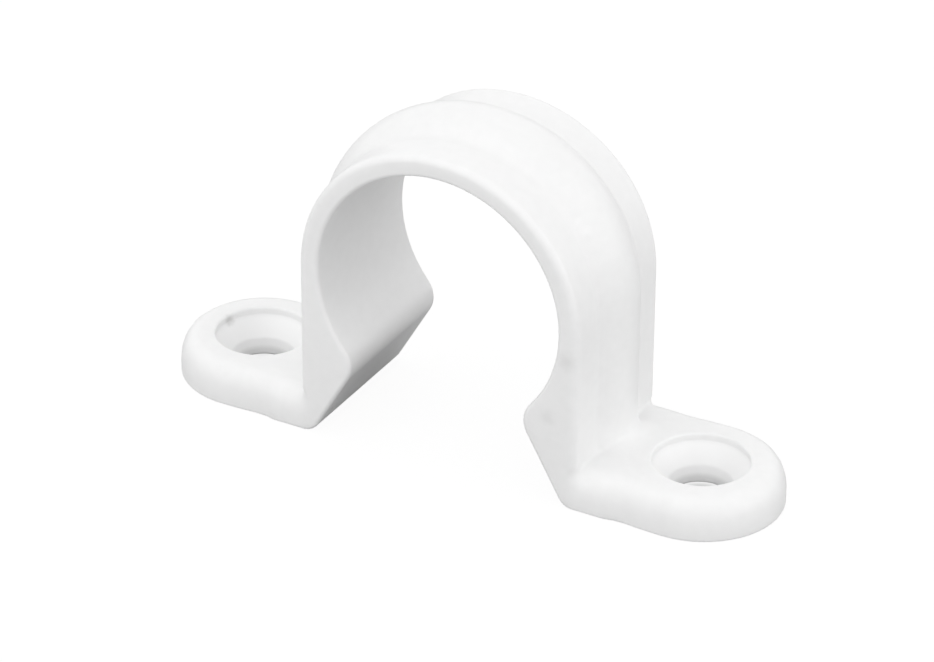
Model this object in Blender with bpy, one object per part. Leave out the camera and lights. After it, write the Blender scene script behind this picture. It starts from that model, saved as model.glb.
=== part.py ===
"""Clip-on two-hole pipe strap, moulded in one piece.

A round band closes over the top of a pipe and ends in two lips that narrow the
mouth. Below the lips two slanted faces guide the pipe in. Each leg runs into a
rounded foot with a countersunk screw hole. The band's outside carries a raised
crown between two thin flanges.

X runs along the feet, Y along the pipe and Z away from the wall. The origin is
the middle of the flat underside.
"""

import bmesh
import bpy
from math import acos, cos, pi, radians, sin, tan
from mathutils import Vector

for old in list(bpy.data.objects):
    bpy.data.objects.remove(old, do_unlink=True)

MM = 0.001

# Pipe and band
PIPE_DIAMETER = 21.3 * MM
PIPE_CLEARANCE = 0.4 * MM
PIPE_HEIGHT = 15.3 * MM
BAND_WIDTH = 13.8 * MM
FLANGE_THICKNESS = 1.8 * MM
FLANGE_WIDTH = 3.2 * MM
CROWN_HEIGHT = 1.37 * MM
VALLEY_RADIUS = 1.2 * MM

# Lips and mouth
LIP_RADIUS = 2.3 * MM
MOUTH_SLANT = radians(30.0)
MOUTH_EDGE = 1.15 * MM
CORNER_RADIUS = 1.4 * MM

# Feet
FOOT_THICKNESS = 3.5 * MM
HOLE_FROM_LEG = 7.7 * MM
FOOT_INSET = 0.08 * MM
NECK_INSET = 0.2 * MM
LEG_FILLET = 0.35 * MM
CROWN_BLEND = 2.0 * MM
ROOT_LENGTH = 2.0 * MM
ROOT_BLEND = 1.6 * MM

# Rounded edges
BAND_EDGE = 0.65 * MM
BORE_EDGE = 0.35 * MM
FOOT_EDGE = 1.5 * MM
FOOT_EDGE_DROP = 2.4 * MM
BASE_EDGE = 0.15 * MM

# Screw holes
SCREW_HOLE = 4.5 * MM
HOLE_TAPER = radians(15)
HEAD_RECESS = 7.9 * MM
RECESS_DEPTH = 0.6 * MM
RECESS_LIP = 0.15 * MM
LIP_RUN_OUT = radians(15)
COUNTERSINK = radians(82)
THROAT_RADIUS = 0.6 * MM

# Sizes that follow from the ones above
BORE = (PIPE_DIAMETER + PIPE_CLEARANCE) / 2
OUTER = BORE + FLANGE_THICKNESS
HALF_BAND = BAND_WIDTH / 2
CROWN_HALF = HALF_BAND - FLANGE_WIDTH
MOUTH_X = OUTER - MOUTH_EDGE
HOLE_X = OUTER + HOLE_FROM_LEG
FOOT_END = HALF_BAND - FOOT_INSET
NECK_HALF = FOOT_END - NECK_INSET
NECK_FLARE = HALF_BAND - NECK_HALF
NECK_X = OUTER + LEG_FILLET + ROOT_LENGTH + ROOT_BLEND
BLEND_END = OUTER + CROWN_HEIGHT + CROWN_BLEND

# Where the lip's round nose touches both the bore and the slanted face
LIP_REACH = cos(MOUTH_SLANT) * MOUTH_X + LIP_RADIUS - sin(MOUTH_SLANT) * PIPE_HEIGHT
LIP_ANGLE = acos(LIP_REACH / (BORE + LIP_RADIUS)) - MOUTH_SLANT

# Number of steps along each stretch of the band
ARCH_STEPS = 22
BORE_STEPS = 8
LIP_STEPS = 7
LEG_STEPS = 4
SLANT_STEPS = 3
CORNER_STEPS = 4
BLEND_STEPS = 7
FOOT_STEPS = 4
END_STEPS = 26
EDGE_STEPS = 5
HOLE_STEPS = 48
THROAT_STEPS = 4
RECESS_LIP_STEPS = 5
CUTTER_REACH = 1 * MM
RUN_OUT_RISE = 0.05 * MM


def mix(first, last, share):
    return first + (last - first) * share


def ease(share):
    return share * share * (3 - 2 * share)


def shares(count):
    return [(step + 1) / count for step in range(count)]


def direction(angle):
    return Vector((cos(angle), 0, sin(angle)))


def crown_profile():
    """Points (y, rise) across the crown: a broad round top and a hollow blend at each side."""
    reach = (CROWN_HALF**2 + CROWN_HEIGHT**2) / (2 * CROWN_HEIGHT)
    top_radius = reach - VALLEY_RADIUS
    turn = acos((reach - CROWN_HEIGHT) / reach)
    side = []
    for share in shares(6):
        angle = turn * share
        side.append((top_radius * sin(angle), CROWN_HEIGHT - top_radius * (1 - cos(angle))))
    for share in shares(3):
        angle = turn * (1 - share)
        side.append((CROWN_HALF - VALLEY_RADIUS * sin(angle), VALLEY_RADIUS * (1 - cos(angle))))
    left = [(-y, rise) for y, rise in reversed(side)]
    return left + [(0.0, CROWN_HEIGHT)] + side


CROWN = crown_profile()


def station(outer, outer_angle, inner, inner_angle, crown=None, half=HALF_BAND,
            outer_edge=BAND_EDGE, outer_drop=BAND_EDGE, inner_edge=BORE_EDGE):
    """One cross-section of the strap between its outer and its inner skin."""
    return {
        "outer": outer,
        "outer_normal": direction(outer_angle),
        "inner": inner,
        "inner_normal": direction(inner_angle),
        "crown": crown or Vector((0, 0, 0)),
        "half": half,
        "outer_edge": outer_edge,
        "outer_drop": outer_drop,
        "inner_edge": inner_edge,
    }


def crown_way(outer):
    """How far, as a share of its height, the crown stands off a point on the leg or on the foot.

    Low on the leg the crown's top follows a quarter circle out onto the foot.
    """
    middle = Vector((BLEND_END, 0, FOOT_THICKNESS + CROWN_BLEND))
    if outer.z >= middle.z:
        return Vector((1, 0, 0))
    turned = (middle.z - outer.z + outer.x - OUTER) / (CROWN_BLEND + BLEND_END - OUTER)
    if turned >= 1:
        return None
    return (middle - CROWN_BLEND * direction(pi / 2 * turned) - outer) / CROWN_HEIGHT


def foot_width(x):
    """Half the foot's width at x, and how far in its upper edge is rounded."""
    if x < NECK_X:
        flare = NECK_FLARE * (1 - ease(max(0, (x - NECK_X) / ROOT_BLEND + 1)))
        return NECK_HALF + flare, FOOT_EDGE + flare
    share = (x - NECK_X) / (HOLE_X - NECK_X)
    return FOOT_END - NECK_INSET * (1 - share) ** 2, FOOT_EDGE


def right_half():
    """Cross-sections from the top of the arch down the right leg to the screw hole."""
    rows = []
    centre = Vector((0, 0, PIPE_HEIGHT))

    # The arch, from its top to the height of the pipe's middle
    for share in [0.0] + shares(ARCH_STEPS):
        angle = pi / 2 * (1 - share)
        way = direction(angle)
        rows.append(station(centre + OUTER * way, angle, centre + BORE * way, angle + pi, way))

    # The bore closing in below the pipe's middle, with a straight leg outside
    for share in shares(BORE_STEPS):
        angle = -LIP_ANGLE * share
        inner = centre + BORE * direction(angle)
        outer = Vector((OUTER, 0, inner.z))
        rows.append(station(outer, 0, inner, angle + pi, crown_way(outer)))

    # The lip's round nose
    nose = centre + (BORE + LIP_RADIUS) * direction(-LIP_ANGLE)
    slant_normal = pi + MOUTH_SLANT
    for share in shares(LIP_STEPS):
        angle = mix(pi - LIP_ANGLE, slant_normal, share)
        inner = nose + LIP_RADIUS * direction(angle)
        outer = Vector((OUTER, 0, inner.z))
        rows.append(station(outer, 0, inner, angle, crown_way(outer)))

    # The slanted guide face, with the leg and the first turn of the fillet outside
    corner = Vector((MOUTH_X + CORNER_RADIUS * (1 - sin(MOUTH_SLANT)) / cos(MOUTH_SLANT), 0, CORNER_RADIUS))
    slant_top = rows[-1]["inner"]
    slant_foot = corner + CORNER_RADIUS * direction(slant_normal)
    leg_foot = FOOT_THICKNESS + LEG_FILLET
    for share in shares(LEG_STEPS):
        outer = Vector((OUTER, 0, mix(slant_top.z, leg_foot, share)))
        inner = slant_top.lerp(slant_foot, share / 2)
        rows.append(station(outer, 0, inner, slant_normal, crown_way(outer)))
    fillet = Vector((OUTER + LEG_FILLET, 0, leg_foot))
    turns = SLANT_STEPS + CORNER_STEPS
    for step in range(turns):
        share = (step + 1) / turns
        angle = pi / 2 * share
        outer = fillet - LEG_FILLET * direction(angle)
        if step < SLANT_STEPS:
            inner = slant_top.lerp(slant_foot, (1 + (step + 1) / SLANT_STEPS) / 2)
            inner_angle = slant_normal
            inner_edge = BORE_EDGE
        else:
            corner_share = (step + 1 - SLANT_STEPS) / CORNER_STEPS
            inner_angle = mix(slant_normal, 3 * pi / 2, corner_share)
            inner = corner + CORNER_RADIUS * direction(inner_angle)
            inner_edge = mix(BORE_EDGE, BASE_EDGE, corner_share)
        outer_edge = mix(BAND_EDGE, FOOT_EDGE + NECK_FLARE, ease(share))
        outer_drop = mix(BAND_EDGE, FOOT_EDGE_DROP, ease(share))
        rows.append(station(outer, angle, inner, inner_angle, crown_way(outer), HALF_BAND,
                            outer_edge, outer_drop, inner_edge))

    # The flat foot: the crown's blend runs out on it, and then it goes on to the screw hole
    spots = [mix(OUTER + LEG_FILLET, BLEND_END, share) for share in shares(BLEND_STEPS)]
    spots += [mix(BLEND_END, HOLE_X, share) for share in shares(FOOT_STEPS)]
    for x in spots:
        outer = Vector((x, 0, FOOT_THICKNESS))
        half, edge = foot_width(x)
        rows.append(station(outer, pi / 2, Vector((x, 0, 0)), 3 * pi / 2, crown_way(outer),
                            half, edge, FOOT_EDGE_DROP, BASE_EDGE))
    return rows


def mirrored(row):
    """The same cross-section on the other leg."""
    twin = dict(row)
    for key in ("outer", "outer_normal", "inner", "inner_normal", "crown"):
        way = row[key].copy()
        way.x = -way.x
        twin[key] = way
    return twin


def across(point, y):
    return Vector((point.x, y, point.z))


def section_points(row):
    """Points round one cross-section: outside, back edge, inside, front edge."""
    flat = row["half"] - row["outer_edge"]
    inner_flat = row["half"] - row["inner_edge"]
    outer_side = []
    for step in range(1, EDGE_STEPS + 1):
        angle = pi / 2 * step / EDGE_STEPS
        sunk = row["outer"] - row["outer_normal"] * row["outer_drop"] * (1 - cos(angle))
        outer_side.append((flat + row["outer_edge"] * sin(angle), sunk))
    inner_side = []
    for step in range(EDGE_STEPS):
        angle = pi / 2 * (1 - step / (EDGE_STEPS - 1))
        sunk = row["inner"] - row["inner_normal"] * row["inner_edge"] * (1 - cos(angle))
        inner_side.append((inner_flat + row["inner_edge"] * sin(angle), sunk))
    points = [across(row["outer"], -flat)]
    points += [across(row["outer"] + row["crown"] * rise, y) for y, rise in CROWN]
    points.append(across(row["outer"], flat))
    points += [across(point, y) for y, point in outer_side + inner_side]
    points += [across(point, -y) for y, point in reversed(outer_side + inner_side)]
    return points


def add_round_end(mesh, ring, centre_x, side):
    """Turn the foot's edge through half a circle about the screw hole and close it."""
    top = ring[: len(CROWN) + 2]
    half_count = 2 * EDGE_STEPS
    front = [ring[0]] + list(reversed(ring[-half_count:]))
    back = [top[-1]] + ring[len(top): len(top) + half_count]
    columns = [front]
    for step in range(1, END_STEPS):
        angle = pi * step / END_STEPS
        column = []
        for vertex in front:
            reach = -vertex.co.y
            spot = (centre_x + side * reach * sin(angle), -reach * cos(angle), vertex.co.z)
            column.append(mesh.verts.new(spot))
        columns.append(column)
    columns.append(back)
    for near, far in zip(columns, columns[1:]):
        for step in range(len(near) - 1):
            mesh.faces.new((near[step], far[step], far[step + 1], near[step + 1]))
    mesh.faces.new(top + [column[0] for column in reversed(columns[1:-1])])
    mesh.faces.new([column[-1] for column in columns])


def build_strap():
    right = right_half()
    left = [mirrored(row) for row in reversed(right[1:])]
    mesh = bmesh.new()
    rings = []
    for row in left + right:
        rings.append([mesh.verts.new(point) for point in section_points(row)])
    for near, far in zip(rings, rings[1:]):
        count = len(near)
        for step in range(count):
            after = (step + 1) % count
            mesh.faces.new((near[step], far[step], far[after], near[after]))
    add_round_end(mesh, rings[0], -HOLE_X, -1)
    add_round_end(mesh, rings[-1], HOLE_X, 1)
    bmesh.ops.recalc_face_normals(mesh, faces=mesh.faces)
    data = bpy.data.meshes.new("pipe_strap")
    mesh.to_mesh(data)
    mesh.free()
    strap = bpy.data.objects.new("pipe_strap", data)
    bpy.context.collection.objects.link(strap)
    return strap


def hole_profile():
    """Points (r, z) of a screw hole from below: tapered hole, throat, countersink, recess and lip."""
    hole = SCREW_HOLE / 2
    recess = HEAD_RECESS / 2
    slope = COUNTERSINK / 2
    throat_reach = THROAT_RADIUS * (cos(HOLE_TAPER) - cos(slope))
    throat_rise = THROAT_RADIUS * (sin(slope) - sin(HOLE_TAPER))
    spare = FOOT_THICKNESS - RECESS_DEPTH - throat_rise - (recess - hole - throat_reach) / tan(slope)
    taper = spare / (cos(HOLE_TAPER) - sin(HOLE_TAPER) / tan(slope))
    throat_r = hole + taper * sin(HOLE_TAPER)
    throat_z = taper * cos(HOLE_TAPER)
    points = [(0, -CUTTER_REACH), (hole, -CUTTER_REACH), (hole, 0), (throat_r, throat_z)]
    for share in shares(THROAT_STEPS):
        angle = mix(HOLE_TAPER, slope, share)
        points.append((throat_r + THROAT_RADIUS * (cos(HOLE_TAPER) - cos(angle)),
                       throat_z + THROAT_RADIUS * (sin(angle) - sin(HOLE_TAPER))))
    points.append((recess, FOOT_THICKNESS - RECESS_DEPTH))
    lip_z = FOOT_THICKNESS - RECESS_LIP
    for share in [0.0] + shares(RECESS_LIP_STEPS):
        angle = mix(pi, pi / 2 + LIP_RUN_OUT, share)
        points.append((recess + RECESS_LIP * (1 + cos(angle)), lip_z + RECESS_LIP * sin(angle)))
    last_r, last_z = points[-1]
    rim_z = FOOT_THICKNESS + RUN_OUT_RISE
    rim_r = last_r + (rim_z - last_z) / tan(LIP_RUN_OUT)
    top_z = FOOT_THICKNESS + CUTTER_REACH
    return points + [(rim_r, rim_z), (rim_r, top_z), (0, top_z)]


def build_hole_cutter(name, centre_x):
    """Turned shape that cuts a screw hole through a foot."""
    profile = hole_profile()
    mesh = bmesh.new()
    verts = [mesh.verts.new((r, 0, z)) for r, z in profile]
    edges = [mesh.edges.new(pair) for pair in zip(verts, verts[1:])]
    bmesh.ops.spin(mesh, geom=verts + edges, cent=(0, 0, 0), axis=(0, 0, 1), angle=2 * pi,
                   steps=HOLE_STEPS, use_merge=True)
    bmesh.ops.remove_doubles(mesh, verts=mesh.verts, dist=1e-7)
    bmesh.ops.recalc_face_normals(mesh, faces=mesh.faces)
    data = bpy.data.meshes.new(name)
    mesh.to_mesh(data)
    mesh.free()
    cutter = bpy.data.objects.new(name, data)
    cutter.location = (centre_x, 0, 0)
    cutter.hide_render = True
    cutter.display_type = "WIRE"
    bpy.context.collection.objects.link(cutter)
    return cutter


strap = build_strap()
for side, centre_x in (("left", -HOLE_X), ("right", HOLE_X)):
    cut = strap.modifiers.new(side + " screw hole", "BOOLEAN")
    cut.operation = "DIFFERENCE"
    cut.solver = "EXACT"
    cut.object = build_hole_cutter(side + "_hole_cutter", centre_x)

strap.data.shade_smooth()
strap.data.set_sharp_from_angle(angle=radians(40))

plastic = bpy.data.materials.new("white moulded plastic")
plastic.use_nodes = True
shader = plastic.node_tree.nodes["Principled BSDF"]
shader.inputs["Base Color"].default_value = (0.86, 0.86, 0.85, 1)
shader.inputs["Roughness"].default_value = 0.35
shader.inputs["Metallic"].default_value = 0.0
strap.data.materials.append(plastic)
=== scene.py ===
# %% [markdown]
# # A moulded pipe strap, seen as a studio photograph
#
# The solid comes from the CAD model and stays as it is. This lesson gives it the finish of the
# real moulding, stands it on a pale floor under soft light, and sets the camera.

# %% Load the model
from math import cos, radians, sin

import bpy
from mathutils import Matrix, Vector

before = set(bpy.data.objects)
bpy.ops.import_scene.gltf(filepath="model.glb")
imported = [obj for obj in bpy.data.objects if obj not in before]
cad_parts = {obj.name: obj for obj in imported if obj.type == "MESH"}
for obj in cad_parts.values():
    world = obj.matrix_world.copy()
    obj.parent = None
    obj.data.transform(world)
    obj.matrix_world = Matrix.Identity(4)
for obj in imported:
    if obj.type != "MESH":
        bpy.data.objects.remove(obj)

MM = 0.001
scene = bpy.context.scene
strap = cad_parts["pipe_strap"]
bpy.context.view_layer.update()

# %% [markdown]
# ## Colours
#
# A colour picked on a screen is an sRGB value, and the renderer wants linear light. One function
# does that step for every colour in the file.

# %% Turn a hex colour to linear light
def linear(hex_code):
    values = [int(hex_code[i:i + 2], 16) / 255 for i in (1, 3, 5)]
    return [v / 12.92 if v <= 0.04045 else ((v + 0.055) / 1.055) ** 2.4 for v in values] + [1.0]


# %% [markdown]
# ## Building a material from nodes
#
# Every finish here is a small network of nodes. One function adds a node, sets its values and
# joins its inputs, so that a network reads from top to bottom like a recipe. An input is given by
# its name, or by its number where several inputs have one name.

# %% Add a node with its settings and links
def add_node(tree, kind, settings=None, **inputs):
    node = tree.nodes.new(kind)
    for name, value in (settings or {}).items():
        setattr(node, name, value)
    for name, value in inputs.items():
        key = int(name[1:]) if name[1:].isdigit() else name.replace("_", " ")
        socket = node.inputs[key]
        if isinstance(value, bpy.types.NodeSocket):
            tree.links.new(value, socket)
        else:
            socket.default_value = value
    return node


# %% [markdown]
# Three kinds of node come up again and again: a step of vector arithmetic, a value that fades from
# one level to another, and a blend of two colours.

# %% The three common nodes
def vector(tree, operation, *parts):
    """Do one step of vector arithmetic."""
    inputs = {f"_{number}": part for number, part in enumerate(parts)}
    return add_node(tree, "ShaderNodeVectorMath", {"operation": operation}, **inputs).outputs


def fade(tree, value, start, stop, first, last, curve="SMOOTHSTEP"):
    """Go from the level first to the level last, while the value goes from start to stop."""
    return add_node(tree, "ShaderNodeMapRange", {"interpolation_type": curve}, Value=value,
                    From_Min=start, From_Max=stop, To_Min=first, To_Max=last).outputs["Result"]


def blend(tree, share, first, second):
    """Blend two colours. A share of 1 gives the second one."""
    return add_node(tree, "ShaderNodeMix", {"data_type": "RGBA"}, Factor=share, _6=first,
                    _7=second).outputs[2]


# %% [markdown]
# ## One smooth skin
#
# The CAD model arrives as separate flat triangles, and a moulding has one continuous skin. So
# neighbouring triangles are joined, and shaded as one surface wherever they meet at less than
# 40 degrees. Sharper edges, such as the rims of the screw holes, keep a break in their shading.
# The weighted normals keep the large flat faces flat right up to their round edges.

# %% Join the triangles and smooth their shading
CRISP = radians(40)
WELD = 0.001 * MM
skin_tree = bpy.data.node_groups.new("one smooth skin", "GeometryNodeTree")
for direction in ("INPUT", "OUTPUT"):
    skin_tree.interface.new_socket("Geometry", in_out=direction,
                                   socket_type="NodeSocketGeometry")
arrived = add_node(skin_tree, "NodeGroupInput")
joined = add_node(skin_tree, "GeometryNodeMergeByDistance", Geometry=arrived.outputs[0],
                  Distance=WELD)
plain = add_node(skin_tree, "GeometryNodeRemoveAttribute", Geometry=joined.outputs["Geometry"],
                 Name="custom_normal")
smooth = add_node(skin_tree, "GeometryNodeSetShadeSmooth", {"domain": "FACE"},
                  Geometry=plain.outputs["Geometry"], Shade_Smooth=True)
fold = add_node(skin_tree, "GeometryNodeInputMeshEdgeAngle")
sharp = add_node(skin_tree, "FunctionNodeCompare",
                 {"data_type": "FLOAT", "operation": "GREATER_THAN"},
                 _0=fold.outputs["Unsigned Angle"], _1=CRISP)
crisp = add_node(skin_tree, "GeometryNodeSetShadeSmooth", {"domain": "EDGE"},
                 Geometry=smooth.outputs["Geometry"], Selection=sharp.outputs["Result"],
                 Shade_Smooth=False)
add_node(skin_tree, "NodeGroupOutput", _0=crisp.outputs["Geometry"])
strap.modifiers.new("one smooth skin", "NODES").node_group = skin_tree
weights = strap.modifiers.new("flat faces stay flat", "WEIGHTED_NORMAL")
weights.keep_sharp = True
whole = strap.evaluated_get(bpy.context.evaluated_depsgraph_get()).data
print("joined skin:", len(whole.vertices), "corners in", len(whole.polygons), "triangles")

# %% [markdown]
# ## The white plastic
#
# The strap is taken to be injection moulded in white PVC: a hard, slightly translucent plastic with
# an index of refraction near 1.53. Its skin has a satin gloss, like a part from a mould that was
# polished and then lightly blasted. Such a part also sinks a little over its thick places as it
# cools, which leaves long soft waves. The photograph is too coarse to show the texture or the
# waves, so their sizes are guesses.
#
# It could be one flat white, but then it would look like paper. So the roughness, the colour and
# the skin each get their own small variation.

# %% Start the plastic and its place on the part
plastic = bpy.data.materials.new("injection-moulded white PVC")
plastic.use_nodes = True
tree = plastic.node_tree
tree.nodes.clear()
place = add_node(tree, "ShaderNodeTexCoord").outputs["Object"]

# %% [markdown]
# A pixel of the picture is 0.08 mm of the strap. The grain is drawn at 0.16 mm, so that it just
# shows, and the sink waves are 4 mm long. Only a tenth of each depth is used, which keeps the skin
# smooth.
#
# No moulded edge is truly sharp. A bevel node turns the light round every edge over a radius of
# 0.2 mm, so the rims of the screw holes look soft, although their shape stays as it is.

# %% Skin texture of the mould
GRAIN = 0.16 * MM
GRAIN_DEPTH = 0.012 * MM
WAVE = 4.0 * MM
WAVE_DEPTH = 0.10 * MM
USED_DEPTH = 0.10
SOFT_EDGE = 0.20 * MM
grain = add_node(tree, "ShaderNodeTexNoise", Vector=place, Scale=1 / GRAIN, Detail=2.0,
                 Roughness=0.55)
wave = add_node(tree, "ShaderNodeTexNoise", Vector=place, Scale=1 / WAVE, Detail=1.0,
                Roughness=0.4)
soft_edges = add_node(tree, "ShaderNodeBevel", {"samples": 8}, Radius=SOFT_EDGE)
wave_skin = add_node(tree, "ShaderNodeBump", Strength=USED_DEPTH, Distance=WAVE_DEPTH,
                     Height=wave.outputs["Fac"], Normal=soft_edges.outputs["Normal"])
skin = add_node(tree, "ShaderNodeBump", Strength=USED_DEPTH, Distance=GRAIN_DEPTH,
                Height=grain.outputs["Fac"], Normal=wave_skin.outputs["Normal"])
print("grain", GRAIN / MM, "mm, sink waves", WAVE / MM, "mm")

# %% [markdown]
# Rubbed and handled places are a little glossier. A broad noise moves the roughness between two
# values. Handling also leaves faint blotches about a millimetre across, so a finer noise moves the
# white between two close tones.

# %% Gloss and blotches of the plastic
RUB = 2.5 * MM
BLOTCH = 0.9 * MM
GLOSSY, SATIN = 0.30, 0.42
rub = add_node(tree, "ShaderNodeTexNoise", Vector=place, Scale=1 / RUB, Detail=3.0)
gloss = fade(tree, rub.outputs["Fac"], 0.3, 0.7, GLOSSY, SATIN, "LINEAR")
blotch = add_node(tree, "ShaderNodeTexNoise", Vector=place, Scale=1 / BLOTCH, Detail=2.0)
white = blend(tree, blotch.outputs["Fac"], linear("#EDEDED"), linear("#F2F2F2"))

# %% [markdown]
# With one white all over, the wide cones for the screws' heads came out darker than in the
# photograph. So they are a shade whiter than the rest, which is painted light, and glossier, as if
# the mould's pins were polished. The narrow holes below them are a shade greyer, which is painted
# shade. These tones were chosen to match the photograph, which doesn't tell what causes them. Two
# masks find the walls by their distance from a hole's axis.

# %% Walls of the screw holes
HOLE_X = 20.35 * MM
HOLE_RADIUS = 2.25 * MM
CONE_RADIUS = 3.70 * MM
EDGE = 0.1 * MM
POLISHED = 0.28
either_side = vector(tree, "ABSOLUTE", place)["Vector"]
level = vector(tree, "MULTIPLY", either_side, (1.0, 1.0, 0.0))["Vector"]
from_axis = vector(tree, "DISTANCE", level, (HOLE_X, 0.0, 0.0))["Value"]
cone_light_and_gloss = fade(tree, from_axis, CONE_RADIUS, CONE_RADIUS + 3 * EDGE, 1.0, 0.0, "LINEAR")
painted_shade_in_hole = fade(tree, from_axis, HOLE_RADIUS + EDGE, HOLE_RADIUS + 2 * EDGE, 1.0, 0.0, "LINEAR")
# Painted light makes the cones whiter, and painted shade makes the narrow holes greyer.
cone_painted_light = blend(tree, cone_light_and_gloss, white, linear("#F6F6F6"))
hole_painted_shade = blend(tree, painted_shade_in_hole, cone_painted_light, linear("#E4E4E4"))
wall_gloss = add_node(tree, "ShaderNodeMix", {"data_type": "FLOAT"}, Factor=cone_light_and_gloss, _2=gloss,
                      _3=POLISHED)

# %% [markdown]
# The strap in the picture isn't quite new. A dark grey spot lies under the rim of the left recess,
# two grey smudges lie beside the mouth, and the shoulder has a pale scuff where it was rubbed. Each
# mark is a soft spot at a place measured on the model. A noise first pushes that place about, by
# up to a third of a millimetre, so that no spot is round.

# %% A soft spot on the plastic
PUSH = 0.7 * MM
RAGGED = 0.7 * MM
ragged = add_node(tree, "ShaderNodeTexNoise", Vector=place, Scale=1 / RAGGED, Detail=3.0)
pushed = vector(tree, "MULTIPLY_ADD", ragged.outputs["Color"], (PUSH, PUSH, PUSH), place)["Vector"]


def add_mark(surface, colour, middle, radius, strength):
    """Lay a soft spot of colour over a surface colour. Lengths are in millimetres."""
    spot_middle = [value * MM + PUSH / 2 for value in middle]
    away = vector(tree, "DISTANCE", pushed, spot_middle)["Value"]
    cover = fade(tree, away, 0.0, radius * MM, strength, 0.0)
    return blend(tree, cover, surface, linear(colour))


# %% Marks on the plastic
SMUDGE_GREY = "#8C8A87"
SCUFF = "#FFFFFF"
surface = hole_painted_shade
for colour, spot, radius, strength in (
        (SMUDGE_GREY, (-24.1, 0.8, 3.0), 0.70, 0.36),
        (SMUDGE_GREY, (11.7, -6.9, 13.4), 1.30, 0.13),
        (SMUDGE_GREY, (10.1, -6.9, 7.8), 1.00, 0.10),
        (SCUFF, (10.3, -2.7, 23.4), 0.60, 0.20),
        (SCUFF, (10.9, -2.6, 22.7), 0.70, 0.28)):
    surface = add_mark(surface, colour, spot, radius, strength)

# %% [markdown]
# The last node is the plastic itself. A quarter of its light sinks in and spreads by 0.6 mm, which
# makes thin edges look milky. Both numbers are guesses.

# %% Put the plastic together
PVC_INDEX = 1.53
MILKY = 0.25
SPREAD = 0.6 * MM
shader = add_node(tree, "ShaderNodeBsdfPrincipled", Base_Color=surface,
                  Roughness=wall_gloss.outputs[0], Normal=skin.outputs["Normal"], IOR=PVC_INDEX,
                  Metallic=0.0, Subsurface_Weight=MILKY, Subsurface_Radius=(1.0, 1.0, 1.0),
                  Subsurface_Scale=SPREAD)
add_node(tree, "ShaderNodeOutputMaterial", Surface=shader.outputs["BSDF"])
for slot in strap.material_slots:
    slot.material = plastic
print("plastic nodes:", len(tree.nodes))

# %% [markdown]
# ## The floor
#
# The strap stands on a sheet of white paper that fills the picture. To the camera the paper is
# almost as bright as the page, and it still takes a little of the strap's soft shadow. Little
# light comes down a screw hole, so the paper seen through the two holes is darker.
#
# To every other ray it is matt paper, which throws light back up into the strap. Paper of one tone
# made the slanted faces below the lips far paler than in the photograph. So between the feet the
# sheet is a dark grey for those rays. Real paper wouldn't be: this is a correction.
# The dark grey is painted shade, which darkens the undersides of the lips.

# %% Paper as the camera sees it
WHITE = (1.0, 1.0, 1.0, 1.0)
PAGE_GLOW, HOLE_GLOW = 0.93, 0.50
PAGE_SHADE = (0.08, 0.08, 0.08, 1.0)
paper = bpy.data.materials.new("matt white paper")
paper.use_nodes = True
tree = paper.node_tree
tree.nodes.clear()
sheet_place = add_node(tree, "ShaderNodeTexCoord").outputs["Object"]
sheet_side = vector(tree, "ABSOLUTE", sheet_place)["Vector"]
from_hole = vector(tree, "DISTANCE", sheet_side, (HOLE_X, 0.0, 0.0))["Value"]
glow = fade(tree, from_hole, 0.6 * HOLE_RADIUS, 1.2 * HOLE_RADIUS, HOLE_GLOW, PAGE_GLOW)
page_shade = add_node(tree, "ShaderNodeBsdfDiffuse", Color=PAGE_SHADE)
page_glow = add_node(tree, "ShaderNodeEmission", Color=WHITE, Strength=glow)
page = add_node(tree, "ShaderNodeAddShader", _0=page_shade.outputs["BSDF"],
                _1=page_glow.outputs["Emission"])

# %% Paper as every other ray meets it
GREY_RADIUS = 7.0 * MM
OPEN_RADIUS = 15.0 * MM
from_middle = vector(tree, "LENGTH", sheet_place)["Value"]
painted_shade_between_feet = fade(tree, from_middle, GREY_RADIUS, OPEN_RADIUS, 1.0, 0.0)
# Painted shade: between the feet the sheet is dark grey for the light it throws back up.
sheet_tone_with_painted_shade = blend(tree, painted_shade_between_feet, linear("#BCBCBC"), linear("#606060"))
sheet = add_node(tree, "ShaderNodeBsdfDiffuse", Color=sheet_tone_with_painted_shade)
rays = add_node(tree, "ShaderNodeLightPath")
both = add_node(tree, "ShaderNodeMixShader", _0=rays.outputs["Is Camera Ray"],
                _1=sheet.outputs["BSDF"], _2=page.outputs["Shader"])
add_node(tree, "ShaderNodeOutputMaterial", Surface=both.outputs["Shader"])
print("paper nodes:", len(tree.nodes))

# %% Lay the sheet under the strap
HALF = 3.0
GAP = 0.02 * MM
mesh = bpy.data.meshes.new("paper_sheet")
mesh.from_pydata([(-HALF, -HALF, 0), (HALF, -HALF, 0), (HALF, HALF, 0), (-HALF, HALF, 0)], [],
                 [(0, 1, 2, 3)])
floor = bpy.data.objects.new("paper_sheet", mesh)
floor.location.z = -GAP
floor.data.materials.append(paper)
scene.collection.objects.link(floor)

# %% [markdown]
# ## The room
#
# Such a picture is often made in a light tent: white cloth all round with lamps behind it. Separate
# lamps would do too, but on a part this small they draw edges that the tent doesn't have. So the
# tent is the world itself, and its brightness is a smooth function of direction.
#
# The cloth is brighter round the sides than overhead, and a little brighter behind the strap on
# its left. Two lamps stand behind the cloth: the main one in front, half way up, and another on
# the right, near the table. Each makes a soft glow that fades out 60 degrees from its middle. The
# lamps' places and all the strengths were fitted to the tones of the photograph.

# %% Glow of a lamp through the cloth
GLOW_ANGLE = radians(60)
world = bpy.data.worlds.new("light tent")
scene.world = world
world.use_nodes = True
tree = world.node_tree
tree.nodes.clear()
way = add_node(tree, "ShaderNodeTexCoord").outputs["Generated"]


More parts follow.
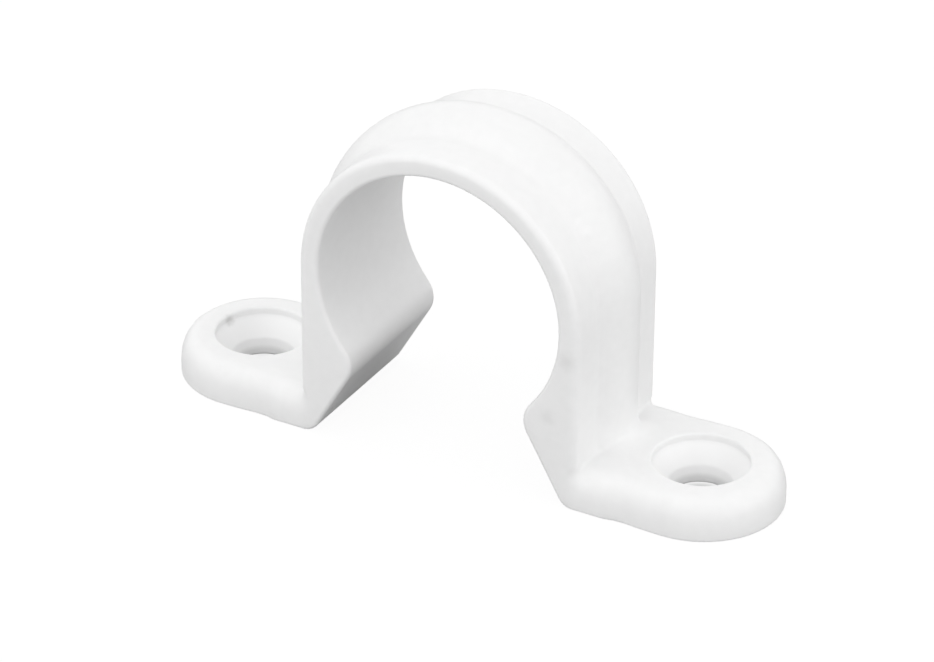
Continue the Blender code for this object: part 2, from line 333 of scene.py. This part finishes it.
def glow_on_cloth(around, up, strength):
    """Brightness from a lamp that stands so many degrees round from +X and so many degrees up."""
    around, up = radians(around), radians(up)
    towards = (cos(around) * cos(up), sin(around) * cos(up), sin(up))
    near = vector(tree, "DOT_PRODUCT", way, towards)["Value"]
    return fade(tree, near, cos(GLOW_ANGLE), 1.0, 0.0, strength)


# %% Light tent
SIDES, OVERHEAD = 0.935, 0.69
FAR_LEFT = (-0.20, 0.125, 0.0)
MAIN_LAMP = (258, 46, 0.63)
LOW_LAMP = (-1, 9, 0.90)
height = add_node(tree, "ShaderNodeSeparateXYZ", Vector=way).outputs["Z"]
tent = fade(tree, height, 0.2, 1.0, SIDES, OVERHEAD)
far_left = vector(tree, "DOT_PRODUCT", way, FAR_LEFT)["Value"]
for light in (far_left, glow_on_cloth(*MAIN_LAMP), glow_on_cloth(*LOW_LAMP)):
    tent = add_node(tree, "ShaderNodeMath", {"operation": "ADD"}, _0=tent,
                    _1=light).outputs["Value"]

# %% [markdown]
# The tent lights the strap, and the camera sees plain white wherever there is no paper.

# %% Put the room together
inside = add_node(tree, "ShaderNodeBackground", Color=WHITE, Strength=tent)
seen = add_node(tree, "ShaderNodeBackground", Color=WHITE, Strength=1.0)
rays = add_node(tree, "ShaderNodeLightPath")
room = add_node(tree, "ShaderNodeMixShader", _0=rays.outputs["Is Camera Ray"],
                _1=inside.outputs["Background"], _2=seen.outputs["Background"])
add_node(tree, "ShaderNodeOutputWorld", Surface=room.outputs["Shader"])
print("tent nodes:", len(tree.nodes))

# %% [markdown]
# ## The camera
#
# The camera stands in front and to the right of the strap, 30 degrees up, about 0.36 m away, with
# a long lens. Its place was found by fitting the strap's outline to the photograph. It looks at a
# point a little to the left of the strap's middle and 4 mm below it.

# %% Camera
AZIMUTH = radians(29.06)
ELEVATION = radians(29.97)
ROLL = radians(0.46)
DISTANCE = 364.4 * MM
MIDDLE_HEIGHT = 14 * MM
LOOK_LEFT = 0.867 * MM
LOOK_DOWN = 4.047 * MM
FOCAL_PIXELS = 4560.7
IMAGE_WIDTH = 934
SENSOR_WIDTH = 36.0
NEAREST = 0.01

back = Vector((sin(AZIMUTH) * cos(ELEVATION), -cos(AZIMUTH) * cos(ELEVATION), sin(ELEVATION)))
right = Vector((cos(AZIMUTH), sin(AZIMUTH), 0))
up = back.cross(right)
look = Vector((0, 0, MIDDLE_HEIGHT)) - LOOK_LEFT * right - LOOK_DOWN * up
rolled_right = cos(ROLL) * right + sin(ROLL) * up
rolled_up = cos(ROLL) * up - sin(ROLL) * right
pose = Matrix((rolled_right, rolled_up, back)).transposed().to_4x4()
pose.translation = look + back * DISTANCE

camera_data = bpy.data.cameras.new("camera")
camera_data.sensor_width = SENSOR_WIDTH
camera_data.lens = FOCAL_PIXELS * SENSOR_WIDTH / IMAGE_WIDTH
camera_data.clip_start = NEAREST
camera = bpy.data.objects.new("camera", camera_data)
camera.matrix_world = pose
scene.collection.objects.link(camera)
scene.camera = camera
print("lens", round(camera_data.lens, 1), "mm")

# %% [markdown]
# ## Finish
#
# The picture uses the plain Standard view, so a colour renders as it is written.

# %% View
scene.view_settings.view_transform = "Standard"
